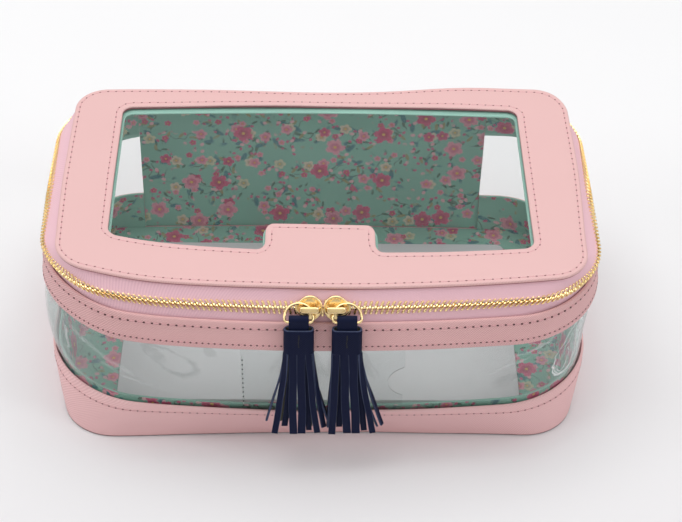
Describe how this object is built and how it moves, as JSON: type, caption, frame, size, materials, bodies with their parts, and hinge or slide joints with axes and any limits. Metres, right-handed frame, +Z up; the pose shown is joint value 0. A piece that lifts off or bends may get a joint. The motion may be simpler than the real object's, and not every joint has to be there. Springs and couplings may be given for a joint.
{
  "type": "game tile bag",
  "caption": "Soft-cornered zip bag for game tiles with clear side and lid windows, a leather frame, a patterned lining, and two zip sliders with leather tassels.",
  "frame": {"origin": "middle of the underside, on the surface that the bag stands on", "axes": "+X to the right along the zip's front run, +Y to the hinged back, +Z up"},
  "size_m": [0.27, 0.1808, 0.097],
  "materials": {
    "pink_leather": "fine cross-hatched, satin",
    "clear_vinyl": "clear, gloss",
    "mint_lining": null,
    "pale_board": "smooth, matte",
    "zip_tape": "twill weave",
    "gold_metal": "polished",
    "navy_leather": "fine cross-hatched, cut edges taupe"
  },
  "bodies": {
    "bag_body": {"base_panel": "pink_leather", "base_band": "pink_leather", "window_band": "clear_vinyl", "upper_band": "pink_leather", "back_panel": "pink_leather", "back_hinge_strip": "pink_leather", "floor_lining": "mint_lining", "base_band_lining": "mint_lining", "upper_band_lining": "mint_lining", "back_lining": "mint_lining", "floor_board": "pale_board", "card_pocket": "clear_vinyl", "lower_zip_tape": "zip_tape", "lower_zip_teeth": "gold_metal", "zip_end_stops": "gold_metal"},
    "lid": {"lid_frame": "pink_leather", "lid_window": "clear_vinyl", "lid_lining": "mint_lining", "lid_back_strip": "pink_leather", "upper_zip_tape": "zip_tape", "upper_zip_teeth": "gold_metal"},
    "left_slider": {"left_slider": "gold_metal", "left_slider_bridge": "gold_metal"},
    "left_ring": {"left_ring": "gold_metal"},
    "left_tassel": {"left_tassel_strap": "navy_leather", "left_tassel_cap": "navy_leather", "left_tassel_fringe": "navy_leather"},
    "right_slider": {"right_slider": "gold_metal", "right_slider_bridge": "gold_metal"},
    "right_ring": {"right_ring": "gold_metal"},
    "right_tassel": {"right_tassel_strap": "navy_leather", "right_tassel_cap": "navy_leather", "right_tassel_fringe": "navy_leather"}
  },
  "joints": [
    {"name": "lid_hinge", "type": "hinge", "parent": "bag_body", "child": "lid", "pos_m": [0, 0.0829, 0.088], "axis": [-1, 0, 0], "range_deg": [0, 110]},
    {"name": "left_slider_run", "type": "hinge", "parent": "bag_body", "child": "left_slider", "pos_m": [0, 0.7505, 0.088], "axis": [0, 0, -1], "range_deg": [0, 4.97]},
    {"name": "left_ring_swing", "type": "hinge", "parent": "left_slider", "child": "left_ring", "pos_m": [-0.00971, -0.08091, 0.09198], "axis": [-1, 0.0064, 0], "range_deg": [0, 9]},
    {"name": "left_tassel_swing", "type": "hinge", "parent": "left_ring", "child": "left_tassel", "pos_m": [-0.00975, -0.08786, 0.08658], "axis": [-1, 0, 0], "range_deg": [0, 80]},
    {"name": "right_slider_run", "type": "hinge", "parent": "bag_body", "child": "right_slider", "pos_m": [0, 0.7505, 0.088], "axis": [0, 0, 1], "range_deg": [0, 4.97]},
    {"name": "right_ring_swing", "type": "hinge", "parent": "right_slider", "child": "right_ring", "pos_m": [0.01231, -0.08088, 0.09198], "axis": [-1, -0.0095, 0], "range_deg": [0, 9]},
    {"name": "right_tassel_swing", "type": "hinge", "parent": "right_ring", "child": "right_tassel", "pos_m": [0.01238, -0.08782, 0.08658], "axis": [-1, 0, 0], "range_deg": [0, 80]}
  ]
}
